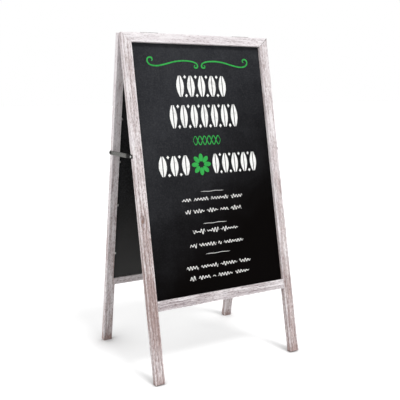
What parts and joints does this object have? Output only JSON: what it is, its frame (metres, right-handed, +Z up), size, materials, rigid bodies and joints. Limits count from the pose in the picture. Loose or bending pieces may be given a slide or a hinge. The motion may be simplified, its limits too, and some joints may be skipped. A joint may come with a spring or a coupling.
{
  "type": "sandwich board",
  "caption": "Folding A-frame pavement sign: hinged whitewashed wooden frames hold black chalkboards, and flat steel stays hook them open.",
  "frame": {"origin": "on the ground, in the middle of the open board's footprint", "axes": "+Z up, -Y the front board's side, +X to the right seen from the front"},
  "size_m": [0.5206, 0.4268, 1.0035],
  "materials": {
    "whitewashed_wood": "matt whitewash over brown softwood, worn on edges and lower legs",
    "chalkboard": "hardboard with matt black chalkboard paint",
    "zinc_steel": "dull zinc plating"
  },
  "bodies": {
    "front_frame": {"front_bottom_point_1": "zinc_steel", "front_bottom_point_2": "zinc_steel", "front_bottom_rail": "whitewashed_wood", "front_chalkboard": "chalkboard", "front_left_point_1": "zinc_steel", "front_left_point_2": "zinc_steel", "front_left_point_3": "zinc_steel", "front_left_point_4": "zinc_steel", "front_left_point_5": "zinc_steel", "front_left_stile": "whitewashed_wood", "front_right_point_1": "zinc_steel", "front_right_point_2": "zinc_steel", "front_right_point_3": "zinc_steel", "front_right_point_4": "zinc_steel", "front_right_point_5": "zinc_steel", "front_right_stile": "whitewashed_wood", "front_top_point_1": "zinc_steel", "front_top_point_2": "zinc_steel", "front_top_rail": "whitewashed_wood", "left_hinge_front_leaf": "zinc_steel", "left_hinge_front_screw_1": "zinc_steel", "left_hinge_front_screw_2": "zinc_steel", "left_hinge_pin": "zinc_steel", "left_stay_catch_screw": "zinc_steel", "right_hinge_front_leaf": "zinc_steel", "right_hinge_front_screw_1": "zinc_steel", "right_hinge_front_screw_2": "zinc_steel", "right_hinge_pin": "zinc_steel", "right_stay_catch_screw": "zinc_steel"},
    "rear_frame": {"left_hinge_rear_leaf": "zinc_steel", "left_hinge_rear_screw_1": "zinc_steel", "left_hinge_rear_screw_2": "zinc_steel", "left_stay_pivot_screw": "zinc_steel", "left_stay_washer": "zinc_steel", "rear_bottom_point_1": "zinc_steel", "rear_bottom_point_2": "zinc_steel", "rear_bottom_rail": "whitewashed_wood", "rear_chalkboard": "chalkboard", "rear_left_point_1": "zinc_steel", "rear_left_point_2": "zinc_steel", "rear_left_point_3": "zinc_steel", "rear_left_point_4": "zinc_steel", "rear_left_point_5": "zinc_steel", "rear_left_stile": "whitewashed_wood", "rear_right_point_1": "zinc_steel", "rear_right_point_2": "zinc_steel", "rear_right_point_3": "zinc_steel", "rear_right_point_4": "zinc_steel", "rear_right_point_5": "zinc_steel", "rear_right_stile": "whitewashed_wood", "rear_top_point_1": "zinc_steel", "rear_top_point_2": "zinc_steel", "rear_top_rail": "whitewashed_wood", "right_hinge_rear_leaf": "zinc_steel", "right_hinge_rear_screw_1": "zinc_steel", "right_hinge_rear_screw_2": "zinc_steel", "right_stay_pivot_screw": "zinc_steel", "right_stay_washer": "zinc_steel"},
    "left_stay": {"left_stay": "zinc_steel"},
    "right_stay": {"right_stay": "zinc_steel"}
  },
  "joints": [
    {"name": "fold", "type": "hinge", "parent": "front_frame", "child": "rear_frame", "pos_m": [0, 0, 1.00052], "axis": [-1, 0, 0], "range_deg": [0, 22]},
    {"name": "left_stay_swing", "type": "hinge", "parent": "rear_frame", "child": "left_stay", "pos_m": [-0.2566, 0.07894, 0.64576], "axis": [-1, 0, 0], "range_deg": [0, 79.2]},
    {"name": "right_stay_swing", "type": "hinge", "parent": "rear_frame", "child": "right_stay", "pos_m": [0.2566, 0.07894, 0.64576], "axis": [-1, 0, 0], "range_deg": [0, 79.2]}
  ],
  "couplings": [
    {"joint": "left_stay_swing", "follows": "fold", "ratio": 3.6},
    {"joint": "right_stay_swing", "follows": "fold", "ratio": 3.6}
  ]
}
